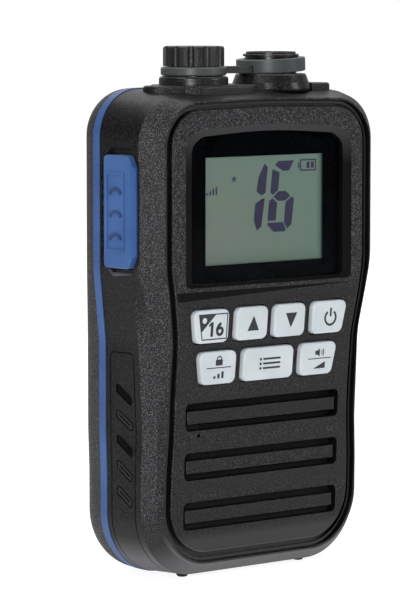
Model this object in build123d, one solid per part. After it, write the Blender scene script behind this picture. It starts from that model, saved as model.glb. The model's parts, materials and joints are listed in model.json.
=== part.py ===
from build123d import *
import os
from math import cos, pi, sin

# Handheld marine radio. X runs to the user's right, Y away from the user and Z up.
# The feet stand on Z = 0. A depth is counted back along Y from the face round the display.
# All sizes are in mm.

# ---------------------------------------------------------------- shell
half_width = 33.9          # half the width of the trim band, beside the display
waist_in = 1.5             # the band draws in by this much beside the keys
hip_in = 1.8               # and by this much beside the speaker
crown_z = 105.1            # top of the shell, under the deck
foot_height = 0.75
shell_depth = 26.0         # display face to the flat of the back
pack_proud = 4.0           # the battery pack's back stands out from the shell's
front_depth = 15.8         # depth of the front housing, where the trim band starts
band_width = 2.15
band_proud = 0.15
wall = 2.2
gasket_width = 0.9
gasket_fit = 0.05
corner_top = 10.0          # corner radii of the shell, seen from the front
corner_low = 14.0
rim_corner_top = 10.0      # and of the rim round the front panel
rim_corner_low = 8.0
crown_drop = 0.6           # the top edge falls by this much from the middle to its corners
crown_radius = 150.0
flank_radius = 24.0        # rounds the hourglass sides
rear_in = 1.3              # the rear housing is narrower by this much beside the display
back_round = 6.0

shoulder_z = 66.7          # the sides start to draw in below this height
waist_top_z = 51.2
waist_low_z = 32.2
hip_z = 23.2

bevel_depth = 4.1          # how far back the front bevel reaches
bevel_in = 3.8
flank_draft = 0.9          # the side draws in by this much from the band to the bevel
waist_bevel_depth = 6.6    # the bevel is wider at the waist and the hip
waist_slant = 1.0          # in front, the waist draws in further towards its foot
waist_rim_in = 6.8
waist_crease_in = 3.7
waist_flank_in = 1.4
hip_rim_in = 6.3
hip_crease_in = 4.0
hip_flank_in = 1.7
rim_low_rise = 4.8         # the bevel under the speaker
crease_low_rise = 2.0
flank_low_rise = 0.12
rim_crown_drop = 2.4
crease_crown_drop = 1.6
flank_crown_drop = 0.9

# ---------------------------------------------------------------- front panel
crease_z = 61.2            # the face leans back below this height
grille_top_fall = 2.1      # depth of the face at the top of the speaker
grille_top_z = 39.2
chin_fall = 3.1            # and at its foot
chin_z = 10.2
crease_radius = 60.0
grille_radius = 150.0
rim_land = 0.35
groove_width = 1.8         # at the sides
groove_top_width = 1.3
groove_low_width = 2.1
groove_depth = 1.5
groove_root = 0.4          # the bead and the panel start this far below the groove's floor
bead_inset = 0.4           # the bead on the groove's floor
bead_width = 0.5
bead_height = 0.7
panel_round = 0.6

# ---------------------------------------------------------------- display
lens_half_width = 21.4
lens_low_z = 63.7
lens_side_z = 92.8
lens_arch_x = 18.5
lens_arch_z = 94.8
lens_top_z = 96.0
lens_thickness = 1.2
lens_sunk = 0.6
lens_corner = 1.2
lens_arch_radius = 3.0
dish_side = 2.1            # sloping border round the lens
dish_top = 1.45
dish_low = 0.7
lens_fit = 0.1
mask_thickness = 0.1
gasket_thickness = 0.2
view_half_width = 16.6     # the part of the display that shows
view_low_z = 67.4
view_high_z = 90.3
lcd_border = 2.0
lcd_thickness = 1.6
lcd_fit = 0.2
frame_wall = 1.6
light_thickness = 2.5
stack_gap = 0.1

# ---------------------------------------------------------------- keys
key_rise = 1.1
key_travel = 0.6
key_fit = 0.3
key_corner = 1.5
key_edge = 0.45
key_taper = 1.3            # the outer keys lean in by this much towards the chin
key_row_z = (58.3, 49.3)   # tops of the two rows
key_height = 7.15
inner_key_x = (0.95, 9.75)
outer_key_x = (11.9, 21.9)
menu_half_width = 7.1
side_key_x = (9.2, 19.7)
key_flange = 0.8
key_flange_thickness = 0.9
stem_radius = 1.6
dome_radius = 2.4
dome_height = 0.5
dome_fit = 0.2
mat_thickness = 0.8
mat_hole_fit = 0.4

# ---------------------------------------------------------------- speaker and microphone
slot_half_width = 21.75
slot_top_z = 38.4
slot_pitch = 10.65
slot_count = 3
slot_height = 6.0
slot_corner = 1.2
louvre_drop = 1.75         # slot's top edge to the top of its louvre
louvre_height = 2.8
louvre_sunk = 0.3
louvre_end_gap = 0.75      # from a louvre's end to the slot's end
louvre_end_depth = 1.6     # depth of that gap
louvre_edge = 0.25
louvre_root = 0.6          # how far a louvre's end reaches into the housing
speaker_radius = 15.0
speaker_z = 25.2
speaker_rim = 1.5
speaker_back = 0.5
speaker_height = 3.0
cone_radius = 12.6
cone_hub_radius = 4.0
cone_depth = 1.0
cone_thickness = 0.4
cone_gap = 0.6
magnet_radius = 8.5
membrane_thickness = 0.3
membrane_margin = 0.4
seal_thickness = 0.8
mic_x = -18.0
mic_z = 31.3
mic_radius = 2.0
mic_length = 2.2
mic_hole_radius = 0.45
boot_wall = 0.8

# ---------------------------------------------------------------- circuit board
board_depth = 10.2
board_thickness = 1.2
board_edge_gap = 0.9       # from the board to the talk button's seal
board_low_z = 13.8
board_high_z = 90.7
board_corner = 5.0
shield_height = 2.6
shield_half_width = 18.0
shield_low_z = 45.2
shield_high_z = 85.2
shield_wall = 0.4
board_screw_margin = 2.8
board_screw_z = (39.2, 64.2)
board_boss_radius = 2.0
board_screw_radius = 0.9
board_head_radius = 1.7
board_head_height = 1.1

# ---------------------------------------------------------------- push-to-talk button, on the left
talk_front_depth = 5.0
talk_rear_margin = 1.2     # from the button to the trim band
talk_z = (67.3, 91.1)
talk_proud = 0.6
talk_travel = 0.8
talk_fit = 0.3
talk_corner = 1.0
talk_cut = (1.5, 2.8)      # cut off its two front corners, along its depth and height
talk_round = 0.4
talk_chamfer = 0.45        # the planed front side, along the button's depth
talk_chamfer_drop = 1.2
talk_well_margin = 0.7     # floor of the well round the button
talk_well_rear = 0.5
talk_well_depth = 0.7
talk_well_lean = 0.8       # its walls lean out by this much
talk_flange = 1.0
talk_flange_thickness = 1.0
talk_seal_thickness = 0.7
talk_stem_radius = 1.5
talk_frame_rear = 1.2      # raised frame on the button, in from its rear and front edges
talk_frame_front = 2.0
talk_frame_end = 3.6       # and from its ends
talk_frame_rise = 0.25
talk_frame_width = 0.45
switch_length = 4.0
switch_depth = 4.2
switch_height = 5.0
switch_inset = 0.6         # its plunger, in from the board's edge

# ---------------------------------------------------------------- side strip
strip_front_depth = 8.2
strip_rear_margin = 1.3    # from the strip to the trim band
strip_top_z = 49.2
strip_thickness = 1.3
strip_fit = 0.2
strip_corner = 1.0
mark_count = 5
mark_top_z = 43.1
mark_pitch = 5.45
mark_height = 5.5          # a mark's fall from its rear end to its front end
mark_band = 2.3
mark_depth = (8.9, 13.1)
mark_cut = 0.6
mark_rib = 0.55            # the inner rib of the marks that have one
ribbed_marks = (1, 3, 4)

# ---------------------------------------------------------------- top deck and its two posts
deck_rise = 0.3            # over the shell's crown
plank_half_width = 25.2    # the long flat bar across the top
plank_rear_margin = 1.0    # from the bar to the trim band
pad_x = (-18.8, 2.6)       # the wider pad that carries the jack's post
pad_front_depth = 4.6
pad_rear = 4.6             # the pad reaches this far behind the front housing
pad_corner = 4.0
deck_round = 0.6
deck_root = 6.0
band_gap = 0.3             # trench in the deck beside the trim band
post_x = 10.95
post_margin = 3.3          # from a post's axis to the trim band
stem_hole_radius = 2.45
stem_fit = 0.1

collar_radius = 7.45
collar_height = 1.8
jack_neck_radius = 4.0
jack_stem_length = 10.8
jack_bore_radius = 1.75
jack_bore_length = 13.0

ring_radius = 7.07
ring_height = 1.85
ring_edge = 0.3
lip_radius = 6.1
lip_height = 0.35
lip_fit = 0.3
seat_gap = 0.15
cap_radius = 6.57
cap_height = 4.3
cap_neck_radius = 5.3
cap_bore_fit = 0.3
cap_ribs = 12
cap_groove = 0.8
cap_groove_depth = 0.55
cap_round = 0.6
cap_roof = 0.7
cap_seal_height = 0.8

base_low_radius = 8.7
base_top_radius = 7.75
base_sunk = 1.4            # the skirt's foot lies this far below the crown
base_height = 3.8
base_foot = 0.6            # the foot's edge is rounded over this height
base_bulge = 0.1
skirt_bore = 6.05
socket_neck_radius = 5.6
rim_radius = 6.1
rim_height = 0.55
lip_rim_radius = 5.45
lip_rim_height = 0.5
socket_recess_radius = 4.6
thread_radius = 3.175
thread_length = 4.0
socket_bore_radius = 1.9
pin_recess = 0.4
socket_flange_radius = 4.2
socket_stem_length = 8.0
pin_radius = 0.6
antenna_ring_radius = 7.55
antenna_ring_height = 3.0
antenna_ring_bore = 5.9
antenna_ring_tilt = 3.0
ring_gap = 0.35
strap_width = 5.0
strap_thickness = 1.5
strap_gap = 0.15

# ---------------------------------------------------------------- battery pack
grip_count = 5             # grip grooves low on its back
grip_low_z = 25.2
grip_pitch = 3.4
grip_width = 1.5
grip_half_width = 17.0
grip_depth = 0.7
field_half_width = 20.0    # shallow field above them
field_z = (45.2, 73.2)
field_corner = 2.5
field_sunk = 0.3
bay_margin = 2.3           # from the bay to the edge of the pack's flange
bay_z = (15.2, 85.2)
bay_depth = 17.0
bay_wall = 1.5
pack_fit = 0.3
pack_wall = 1.5
pack_back_wall = 2.6
flange_z = (11.5, 94.7)
flange_corner = 5.0
flange_round = 1.4
cell_margin = 3.5
cell_z = (18.2, 74.2)
cell_fit = 0.3
lock_z = 89.7
lock_radius = 4.2
lock_head = 1.6
lock_shank_radius = 1.5
lock_shank_fit = 0.3
lock_slot = 1.2
lock_end_gap = 0.4
lock_insert_radius = 2.6
lock_insert_length = 6.0
lock_bore_fit = 0.08
pack_seal_width = 1.2
pack_seal_thickness = 1.0
contact_pitch = 6.0
contact_count = 3
contact_z = 21.2
contact_radius = 1.4
pin_contact_radius = 0.8
contact_thickness = 0.3
charge_x = 8.0
charge_z = 17.7
charge_radius = 2.0
charge_thickness = 0.8
clip_x = 9.0
clip_z = 80.2
clip_insert_radius = 2.3
clip_thread_radius = 1.25
clip_insert_length = 6.0

# ---------------------------------------------------------------- fasteners and feet
top_screw_margin = (8.9, 10.9)    # in from the band's edge and down from the crown
low_screw_margin = 7.5
low_screw_z = 10.8
screw_boss_radius = 2.4
screw_core_radius = 1.2
screw_core_fit = 0.05
screw_head_radius = 2.3
screw_head_height = 1.5
screw_sunk = 0.6
screw_grip = 8.0
foot_x = 16.6
foot_front_depth = 9.6     # on the side strip
foot_rear = 2.15           # behind the trim band
foot_radius = 1.3
foot_round = 0.65
foot_root = 0.8

# ---------------------------------------------------------------- worked-out places
pack_depth = shell_depth + pack_proud
front_y = -pack_depth / 2
band_end = front_depth + band_width
deck_z = crown_z + deck_rise
plank_depth = (waist_bevel_depth, front_depth - plank_rear_margin)
pad_depth = (pad_front_depth, front_depth + pad_rear)
post_depth = front_depth - post_margin
strip_depth = (strip_front_depth, front_depth - strip_rear_margin)
talk_depth = (talk_front_depth, front_depth - talk_rear_margin)
inner_side_x = half_width - flank_draft - wall
talk_seal_x = inner_side_x - 2 * talk_fit - talk_flange_thickness - talk_travel
board_half_width = talk_seal_x - talk_seal_thickness - board_edge_gap
board_screw_x = board_half_width - board_screw_margin
top_screw = (half_width - top_screw_margin[0], crown_z - top_screw_margin[1])
low_screw = (half_width - hip_in - low_screw_margin, low_screw_z)
foot_depths = (foot_front_depth, band_end + foot_rear)
flange_half_width = half_width - rear_in - back_round
bay_half_width = flange_half_width - bay_margin
cell_half_width = bay_half_width - cell_margin
grille_depth = 5.2         # inner face of the front wall behind the speaker
keypad_depth = 4.6
display_depth = 3.6
floor_z = foot_height
lens_back = lens_sunk + lens_thickness
ledge_depth = lens_back + mask_thickness + gasket_thickness
lcd_front = ledge_depth
lcd_back = lcd_front + lcd_thickness
board_back = board_depth + board_thickness
far = 200.0


# ---------------------------------------------------------------- drawing aids
def level(depth):
    """Upright plane at a depth; it looks at the user, with its x along X and its y along Z."""
    return Plane(origin=(0, front_y + depth, 0), x_dir=(1, 0, 0), z_dir=(0, -1, 0))


def slab(sketch, start, end):
    """The sketch, drawn as seen from the front, from one depth back to another."""
    return extrude(level(start) * sketch, amount=end - start, dir=(0, 1, 0))


def block(x, depth, z):
    """Box between two X values, two depths and two heights."""
    sketch = Pos((x[0] + x[1]) / 2, (z[0] + z[1]) / 2) * Rectangle(x[1] - x[0], z[1] - z[0])
    return slab(sketch, depth[0], depth[1])


def plate(half, z, radius):
    """Rounded rectangle about X = 0 between two heights."""
    return Pos(0, (z[0] + z[1]) / 2) * RectangleRounded(2 * half, z[1] - z[0], radius)


def rod(x, z, radius, start, end):
    """Cylinder along Y."""
    return slab(Pos(x, z) * Circle(radius), start, end)


def post(x, radius, low, high, depth=post_depth):
    """Upright cylinder."""
    return Pos(x, front_y + depth, (low + high) / 2) * Cylinder(radius, high - low)


def mirrored(part):
    return part + mirror(part, Plane.YZ)


def save(name, part):
    """One STEP file for each node; solids that touch only by chance stay separate."""
    solids = part.solids()
    shape = solids[0] if len(solids) == 1 else Compound(children=list(solids))
    export_step(shape, f"parts/{name}.step")


# ---------------------------------------------------------------- body outline
def outline(half, waist, hip, low, high, top_corner, low_corner, slant=0.0):
    """Hourglass outline, crowned at the top and straight at the bottom."""
    right = [
        (half, high - crown_drop),
        (half, shoulder_z),
        (waist, waist_top_z),
        (waist - slant, waist_low_z),
        (hip, hip_z),
        (hip, low),
    ]
    radii = [top_corner, flank_radius, flank_radius, flank_radius, flank_radius, low_corner]
    left = [(-x, z) for x, z in reversed(right)]
    path = FilletPolyline(
        (0, high), *right, *left, radius=[crown_radius] + radii + radii[::-1], close=True
    )
    return make_face(path)


def section(number, inset):
    """Outline of the shell at its numbered station, drawn in by a wall."""
    depth, half_in, waist_more, hip_more, rise, drop, top_corner, low_corner, slant = stations[number]
    low = floor_z + rise + inset
    return depth, outline(
        half_width - half_in - inset,
        half_width - waist_in - waist_more - inset,
        half_width - hip_in - hip_more - inset,
        low,
        crown_z - drop - inset,
        max(top_corner - inset, 1.0),
        max(low_corner - inset, 1.0),
        slant,
    )


rim_in = bevel_in + flank_draft
stations = [
    (0, rim_in, waist_rim_in, hip_rim_in, rim_low_rise, rim_crown_drop, rim_corner_top, rim_corner_low, 0),
    (bevel_depth, flank_draft, waist_crease_in, hip_crease_in, crease_low_rise, crease_crown_drop,
     corner_top, corner_low, waist_slant),
    (waist_bevel_depth, flank_draft * 0.9, waist_flank_in, hip_flank_in, flank_low_rise, flank_crown_drop,
     corner_top, corner_low, waist_slant),
    (front_depth, 0, 0, 0, 0, 0, corner_top, corner_low, 0),
    (band_end, rear_in, 0, 0, 0, 0, corner_top, corner_low, 0),
]


def front_form(inset=0.0):
    """Outer form of the front housing, drawn in by a wall."""
    form = None
    for number in range(3):
        start, near = section(number, inset)
        end, far_face = section(number + 1, inset)
        piece = loft([level(start) * near, level(end) * far_face], ruled=True)
        form = piece if form is None else form + piece
    return form


def ring_form(start, end, outer, inner):
    """Ring that follows the outline at the band, between two insets."""
    return slab(section(3, outer)[1] - section(3, inner)[1], start, end)


def face_profile(shift):
    """Everything in front of the face, moved back by a shift."""
    path = FilletPolyline(
        (shift, far), (shift, crease_z), (grille_top_fall + shift, grille_top_z),
        (chin_fall + shift, chin_z), (chin_fall + shift, -far),
        radius=[crease_radius, grille_radius, grille_radius],
    )
    edge = path + Polyline((chin_fall + shift, -far), (-far, -far), (-far, far), (shift, far))
    side = Plane(origin=(-far / 2, front_y, 0), x_dir=(0, 1, 0), z_dir=(1, 0, 0))
    return extrude(side * make_face(edge), amount=far)


def fall(z):
    """Depth of the leaning face at a height, without its rounded creases."""
    if z > crease_z:
        return 0.0
    if z > grille_top_z:
        return grille_top_fall * (crease_z - z) / (crease_z - grille_top_z)
    return grille_top_fall + (chin_fall - grille_top_fall) * (grille_top_z - z) / (grille_top_z - chin_z)


def panel_outline(inset, top_more=0.0, low_more=0.0):
    """Outline of the front rim, drawn in, and by more at its top and bottom."""
    waist_z = (waist_top_z + waist_low_z) / 2
    waist_slope = (waist_rim_in - waist_crease_in - waist_slant / 2) / bevel_depth
    hip_slope = (hip_rim_in - hip_crease_in) / bevel_depth
    low = floor_z + rim_low_rise - chin_fall * (rim_low_rise - crease_low_rise) / bevel_depth
    low_corner = rim_corner_low + chin_fall * (corner_low - rim_corner_low) / bevel_depth
    return outline(
        half_width - rim_in - inset,
        half_width - waist_in - waist_rim_in + waist_slope * fall(waist_z) - inset,
        half_width - hip_in - hip_rim_in + hip_slope * fall(hip_z) - inset,
        low + inset + low_more,
        crown_z - rim_crown_drop - inset - top_more,
        rim_corner_top - inset,
        low_corner - inset,
    )


# ---------------------------------------------------------------- display window
def lens_outline(side=0.0, top=0.0, low=0.0):
    """Arch-topped window, grown at its sides, top and bottom."""
    right = [
        (lens_arch_x + side * 0.6, lens_arch_z + top),
        (lens_half_width + side, lens_side_z + top * 0.6),
        (lens_half_width + side, lens_low_z - low),
    ]
    left = [(-x, z) for x, z in reversed(right)]
    radii = [lens_arch_radius, lens_arch_radius, lens_corner]
    path = FilletPolyline(
        (0, lens_top_z + top), *right, *left, radius=[crown_radius] + radii + radii[::-1], close=True
    )
    return make_face(path)


def view_box(margin):
    """Rectangle of the visible display, grown by a margin."""
    height = view_high_z - view_low_z + 2 * margin
    return Pos(0, (view_high_z + view_low_z) / 2) * Rectangle(2 * (view_half_width + margin), height)


def display_pieces():
    opening = view_box(lcd_border + lcd_fit)
    lens = slab(lens_outline(), lens_sunk, lens_back)
    mask = slab(lens_outline() - view_box(0), lens_back, lens_back + mask_thickness)
    gasket = slab(lens_outline() - opening, lens_back + mask_thickness, ledge_depth)
    lcd = slab(view_box(lcd_border), lcd_front, lcd_back)
    inner = view_box(lcd_border + lcd_fit)
    outer = view_box(lcd_border + lcd_fit + frame_wall)
    frame = slab(outer - inner, display_depth, board_depth)
    light = slab(view_box(lcd_border), lcd_back + stack_gap, lcd_back + stack_gap + light_thickness)
    save("display_lens", lens)
    save("lens_mask", mask)
    save("lens_gasket", gasket)
    save("lcd_panel", lcd)
    save("lcd_frame", frame)
    save("backlight_plate", light)


# ---------------------------------------------------------------- keys
def key_shape(x, top, taper_left=0.0, taper_right=0.0, grow=0.0):
    """Key outline; an outer key's outer edge leans in towards the chin."""
    low = top - key_height
    points = [
        (x[0] - grow, top + grow),
        (x[1] + grow, top + grow),
        (x[1] + grow - taper_right, low - grow),
        (x[0] - grow + taper_left, low - grow),
    ]
    return make_face(FilletPolyline(*points, radius=key_corner, close=True))


def flipped(x):
    return (-x[1], -x[0])


upper, lower = key_row_z
keys = {
    "key_channel": (flipped(outer_key_x), upper, key_taper, 0),
    "key_up": (flipped(inner_key_x), upper, 0, 0),
    "key_down": (inner_key_x, upper, 0, 0),
    "key_power": (outer_key_x, upper, 0, key_taper),
    "key_lock": (flipped(side_key_x), lower, key_taper, 0),
    "key_menu": ((-menu_half_width, menu_half_width), lower, 0, 0),
    "key_volume": (side_key_x, lower, 0, key_taper),
}
flange_start = keypad_depth + key_fit
flange_end = flange_start + key_flange_thickness
stem_end = board_depth - dome_height - key_travel - dome_fit


def key_centre(key):
    x, top, _, _ = key
    return (x[0] + x[1]) / 2, top - key_height / 2


def key_piece(key):
    """Cap, flange behind the front wall and a stem over the dome."""
    cap = slab(key_shape(*key), -far / 10, flange_end) - face_profile(-key_rise)
    face_edges = cap.faces().sort_by(Axis.Y)[0].edges()
    cap = fillet(face_edges, key_edge)
    flange = slab(key_shape(*key, grow=key_flange), flange_start, flange_end)
    stem = rod(*key_centre(key), stem_radius, flange_end, stem_end)
    return cap + flange + stem


def keypad():
    for name, key in keys.items():
        save(name, key_piece(key))
    half = max(outer_key_x[1], side_key_x[1])
    mat = plate(half, (lower - key_height, upper), key_corner)
    domes = []
    for key in keys.values():
        x, z = key_centre(key)
        mat -= Pos(x, z) * Circle(dome_radius + mat_hole_fit)
        wide = slab(Pos(x, z) * Circle(dome_radius), board_depth - dome_height / 2, board_depth)
        domes.append(wide + rod(x, z, dome_radius / 2, board_depth - dome_height, board_depth))
    save("keypad_mat", slab(mat, board_depth - mat_thickness, board_depth))
    save("dome_switches", Compound(children=domes))


# ---------------------------------------------------------------- speaker
def slot_tops():
    return [slot_top_z - slot_pitch * row for row in range(slot_count)]


def slot_cuts():
    """The three long slots, right through the front wall."""
    cuts = []
    for top in slot_tops():
        shape = RectangleRounded(2 * slot_half_width, slot_height, slot_corner)
        cuts.append(slab(Pos(0, top - slot_height / 2) * shape, -1, grille_depth + 1))
    return cuts


def louvre(top):
    """Bar that stands in a slot just below the face; its ends stay clear of the slot's in front."""
    face = fall(top - slot_height / 2) + louvre_sunk
    near = slot_half_width - louvre_end_gap
    end = slot_half_width + louvre_root
    right = [
        (near, face),
        (near, face + louvre_end_depth),
        (end, face + louvre_end_depth),
        (end, grille_depth),
    ]
    left = [(-x, depth) for x, depth in reversed(right)]
    low = top - louvre_drop - louvre_height
    plan = Plane(origin=(0, front_y, low), x_dir=(1, 0, 0), z_dir=(0, 0, 1))
    bar = extrude(plan * make_face(Polyline(*right, *left, close=True)), amount=louvre_height)
    return fillet(bar.faces().sort_by(Axis.Y)[0].edges(), louvre_edge)


def speaker():
    start = grille_depth + membrane_thickness
    rim_start = start + seal_thickness
    back = rim_start + speaker_height
    low = slot_tops()[-1] - slot_height - membrane_margin
    high = slot_top_z + membrane_margin
    cloth = plate(slot_half_width + membrane_margin, (low, high), slot_corner)
    save("speaker_membrane", slab(cloth - Pos(mic_x, mic_z) * Circle(mic_radius + boot_wall),
                                  grille_depth, start))
    ring = Circle(speaker_radius) - Circle(speaker_radius - speaker_rim)
    save("speaker_seal", slab(Pos(0, speaker_z) * ring, start, rim_start))
    basket = slab(Pos(0, speaker_z) * ring, rim_start, back)
    basket += rod(0, speaker_z, speaker_radius, back - speaker_back, back)
    save("speaker_frame", basket)
    save("speaker_magnet", rod(0, speaker_z, magnet_radius, back, board_depth))
    hub = back - speaker_back - cone_gap
    wide = Circle(cone_radius)
    narrow = Circle(cone_hub_radius)
    outer = loft([level(hub - cone_depth) * Pos(0, speaker_z) * wide, level(hub) * Pos(0, speaker_z) * narrow])
    inner = outer.moved(Location((0, -cone_thickness, 0)))
    save("speaker_cone", outer - inner)


def microphone():
    start = grille_depth
    save("microphone", rod(mic_x, mic_z, mic_radius, start + boot_wall, start + boot_wall + mic_length))
    boot = rod(mic_x, mic_z, mic_radius + boot_wall, start, start + boot_wall + mic_length)
    boot -= rod(mic_x, mic_z, mic_radius, start + boot_wall, start + 2 * mic_length)
    boot -= rod(mic_x, mic_z, mic_hole_radius, start - 1, start + mic_length)
    save("mic_boot", boot)


# ---------------------------------------------------------------- board
def board():
    pcb = plate(board_half_width, (board_low_z, board_high_z), board_corner)
    places = [(side * board_screw_x, z) for side in (-1, 1) for z in board_screw_z]
    for x, z in places:
        pcb -= Pos(x, z) * Circle(board_screw_radius + screw_core_fit)
    save("main_board", slab(pcb, board_depth, board_back))
    can = block((-shield_half_width, shield_half_width), (board_back, board_back + shield_height),
                (shield_low_z, shield_high_z))
    hollow = block((-shield_half_width + shield_wall, shield_half_width - shield_wall),
                   (board_back, board_back + shield_height - shield_wall),
                   (shield_low_z + shield_wall, shield_high_z - shield_wall))
    save("rf_shield", can - hollow)
    screws = []
    for x, z in places:
        head = rod(x, z, board_head_radius, board_back, board_back + board_head_height)
        screws.append(head + rod(x, z, board_screw_radius, board_depth - 4, board_back))
    save("board_screws", Compound(children=screws))


def board_bosses():
    """Posts on the front wall that the board is screwed to."""
    bosses = []
    for side in (-1, 1):
        for z in board_screw_z:
            boss = rod(side * board_screw_x, z, board_boss_radius, lens_back, board_depth)
            hole = rod(side * board_screw_x, z, board_screw_radius + screw_core_fit,
                       board_depth - 4.5, board_depth + 1)
            bosses.append((boss, hole))
    return bosses


# ---------------------------------------------------------------- push-to-talk button
talk_mid_depth = sum(talk_depth) / 2
talk_mid_z = sum(talk_z) / 2
talk_width = talk_depth[1] - talk_depth[0]
talk_height = talk_z[1] - talk_z[0]
side_x = half_width - flank_draft * (front_depth - talk_mid_depth) / (front_depth - bevel_depth)
talk_face_x = side_x + talk_proud


def side_sketch(x, shape):
    """Shape drawn on an upright plane that faces left, its x to the front."""
    origin = (-x, front_y + talk_mid_depth, talk_mid_z)
    return Plane(origin=origin, x_dir=(0, -1, 0), z_dir=(-1, 0, 0)) * shape


def side_slab(shape, outer_x, inner_x):
    return extrude(side_sketch(outer_x, shape), amount=outer_x - inner_x, dir=(1, 0, 0))


def talk_shape(grow):
    """Outline of the button, grown; its front corners are cut off."""
    x = talk_width / 2 + grow
    z = talk_height / 2 + grow
    low = [(-x, -z), (x - talk_cut[0], -z), (x, -z + talk_cut[1])]
    high = [(across, -up) for across, up in reversed(low)]
    return make_face(FilletPolyline(*low, *high, radius=talk_corner, close=True))


def well_shape(margin):
    """Eight-sided outline of the well; towards the band its margin stays the same."""
    front = talk_fit + margin
    rear = talk_fit + talk_well_rear
    blank = Pos((front - rear) / 2, 0) * Rectangle(talk_width + front + rear, talk_height + 2 * front)
    return chamfer(blank.vertices(), talk_cut[0] + front)


def talk_well():
    """Shallow well with leaning walls round the button, and the hole for the button itself."""
    low = side_sketch(side_x - talk_well_depth, well_shape(talk_well_margin))
    high = side_sketch(side_x + talk_well_depth, well_shape(talk_well_margin + 2 * talk_well_lean))
    well = loft([low, high], ruled=True)
    return well + side_slab(talk_shape(talk_fit), half_width + 1, inner_side_x - wall)


def talk_button():
    """Button with a planed front corner, a retaining flange, a stem and a raised frame."""
    flange_x = inner_side_x - talk_fit
    flange_back_x = flange_x - talk_flange_thickness
    body = side_slab(talk_shape(0), talk_face_x, flange_back_x)
    body = fillet(body.faces().sort_by(Axis.X)[0].edges(), talk_round)
    corner_y = front_y + talk_depth[0]
    wedge = Polyline(
        (-talk_face_x - 1, corner_y + talk_chamfer + talk_chamfer / talk_chamfer_drop),
        (-talk_face_x + talk_chamfer_drop, corner_y),
        (-talk_face_x + talk_chamfer_drop, corner_y - 1),
        (-talk_face_x - 1, corner_y - 1),
        close=True,
    )
    body -= extrude(Plane.XY.offset(talk_z[0] - 1) * make_face(wedge), amount=talk_height + 2)
    lugs = RectangleRounded(talk_width + 2 * talk_flange, talk_height - 2 * talk_corner, talk_flange)
    flange = side_slab(lugs, flange_x, flange_back_x)
    stem = side_slab(stem_place * Circle(talk_stem_radius), flange_back_x,
                     switch_face_x + talk_travel + dome_fit)
    frame = RectangleRounded(talk_width - talk_chamfer - talk_frame_rear - talk_frame_front,
                             talk_height - 2 * talk_frame_end, talk_corner / 2)
    inner = offset(frame, -talk_frame_width, kind=Kind.INTERSECTION)
    place = Pos((talk_frame_rear - talk_frame_front - talk_chamfer) / 2, 0)
    ring = side_slab(place * (frame - inner), talk_face_x + talk_frame_rise, talk_face_x - talk_frame_rise)
    save("ptt_button", body + flange + stem + ring)


switch_face_x = board_half_width - switch_inset
stem_place = Pos(talk_mid_depth - board_depth + switch_depth / 2, 0)


def talk_inner():
    ring = talk_shape(talk_flange) - stem_place * Circle(talk_stem_radius + talk_fit)
    seal = side_slab(ring, talk_seal_x, talk_seal_x - talk_seal_thickness)
    save("ptt_seal", seal)
    low = talk_mid_z - switch_height / 2
    save("ptt_switch", block((-switch_face_x, -switch_face_x + switch_length),
                             (board_depth - switch_depth, board_depth),
                             (low, low + switch_height)))


# ---------------------------------------------------------------- side strip
def side_plane():
    """Upright plane on the left side; its x counts depth and its y height."""
    return Plane(origin=(-half_width - 1, front_y, 0), x_dir=(0, 1, 0), z_dir=(1, 0, 0))


def strip_zone(fit):
    """Where the strip lies: a band round both sides and the underside, its top corners rounded."""
    width = strip_depth[1] - strip_depth[0] + 2 * fit
    height = 2 * (strip_top_z + fit)
    shape = Pos(sum(strip_depth) / 2, 0) * RectangleRounded(width, height, strip_corner + fit)
    return extrude(side_plane() * shape, amount=2 * (half_width + 1))


def strip_marks():
    """Slanting recesses on the side strips; some hold a rib."""
    cuts = []
    for number in range(mark_count):
        top = mark_top_z - mark_pitch * number
        rear, front = mark_depth[1], mark_depth[0]
        corners = [
            (rear, top), (rear, top - mark_band),
            (front, top - mark_height), (front, top - mark_height + mark_band),
        ]
        face = make_face(FilletPolyline(*corners, radius=0.5, close=True))
        if number in ribbed_marks:
            face -= offset(face, -mark_rib / 2.2, kind=Kind.INTERSECTION)
        cuts.append(extrude(side_plane() * face, amount=half_width))
    return cuts


def side_strip():
    outer = front_form()
    strip = (outer - front_form(strip_thickness)) & strip_zone(0)
    for side in (-1, 1):
        strip -= post(side * foot_x, foot_radius, -1, foot_height + foot_root, foot_depths[0])
    shallow = outer - front_form(mark_cut)
    for cut in strip_marks():
        strip -= mirrored(cut) & shallow
    save("side_strip", strip)


# ---------------------------------------------------------------- housings, band and gasket
def deck(start, end):
    """Raised deck between two depths: a bar, a pad under the jack and a seat under the antenna."""
    long = Pos(0, (plank_depth[0] + plank_depth[1]) / 2) * SlotOverall(
        2 * plank_half_width, plank_depth[1] - plank_depth[0])
    pad = Pos((pad_x[0] + pad_x[1]) / 2, (pad_depth[0] + pad_depth[1]) / 2) * RectangleRounded(
        pad_x[1] - pad_x[0], pad_depth[1] - pad_depth[0], pad_corner)
    seat = Pos(post_x, post_depth) * Circle(skirt_bore - seat_gap)
    low = Plane.XY.offset(deck_z - deck_root)
    form = extrude(low * Pos(0, front_y) * (long + pad + seat), amount=deck_root)
    form = fillet(form.faces().sort_by(Axis.Z)[-1].edges(), deck_round)
    x = plank_half_width
    return form & block((-x, x), (start, end), (deck_z - deck_root, deck_z))


def front_space():
    """Room inside the front housing, stepped to follow the leaning face."""
    x = half_width
    steps = block((-x, x), (display_depth, front_depth), (crease_z, crown_z))
    steps += block((-x, x), (keypad_depth, front_depth), (grille_top_z + membrane_margin, crease_z))
    steps += block((-x, x), (grille_depth, front_depth), (0, grille_top_z + membrane_margin))
    return front_form(wall) & steps


def screw_places():
    return [(side * x, z) for x, z in (top_screw, low_screw) for side in (-1, 1)]


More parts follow.
